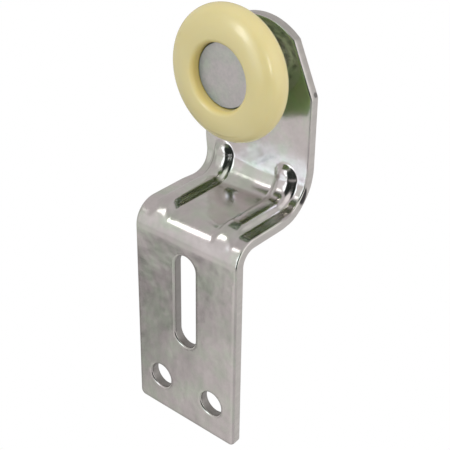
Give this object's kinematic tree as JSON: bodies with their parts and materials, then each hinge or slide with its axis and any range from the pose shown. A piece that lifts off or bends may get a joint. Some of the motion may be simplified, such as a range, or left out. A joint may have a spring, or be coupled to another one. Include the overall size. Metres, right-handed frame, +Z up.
{
  "type": "sliding door roller",
  "caption": "Z-bent steel hanger plate with a slotted, drilled lower leg and a nylon-tyred ball-bearing wheel riveted to its offset upper leg.",
  "frame": {"origin": "midway between the two round screw holes, on the rear face of the hanging plate, the plane that lies against the door leaf", "axes": "+Z up, from the hanging plate towards the wheel; +Y from the hanging plate towards the offset axle plate, which is also the wheel's axle direction; +X across the plate, to the right when the wheel is seen from its face side"},
  "size_m": [0.0254, 0.0228, 0.0832],
  "materials": {
    "zinc_plate": "bright zinc plate over cold-rolled steel, semi-gloss, slightly wavy",
    "nylon": "natural nylon, ivory yellow, satin gloss, slightly translucent",
    "race_steel": "plain pressed steel, oiled",
    "ball_steel": "polished bearing steel",
    "rivet_steel": "matt zinc plate, faintly mottled"
  },
  "bodies": {
    "hanger": {"bracket": "zinc_plate", "axle_rivet": "rivet_steel", "axle_spacer": "zinc_plate", "bearing_inner_race_front": "race_steel", "bearing_inner_race_rear": "race_steel"},
    "wheel": {"nylon_tyre": "nylon", "bearing_outer_race": "race_steel"},
    "ball_ring": {"bearing_balls": "ball_steel"}
  },
  "joints": [
    {"name": "wheel_spin", "type": "hinge", "parent": "hanger", "child": "wheel", "pos_m": [0, 0.0098, 0.0631], "axis": [0, 1, 0], "continuous": true},
    {"name": "ball_orbit", "type": "hinge", "parent": "hanger", "child": "ball_ring", "pos_m": [0, 0.01135, 0.0631], "axis": [0, 1, 0], "continuous": true}
  ],
  "couplings": [
    {"joint": "ball_orbit", "follows": "wheel_spin", "ratio": 0.62755}
  ]
}
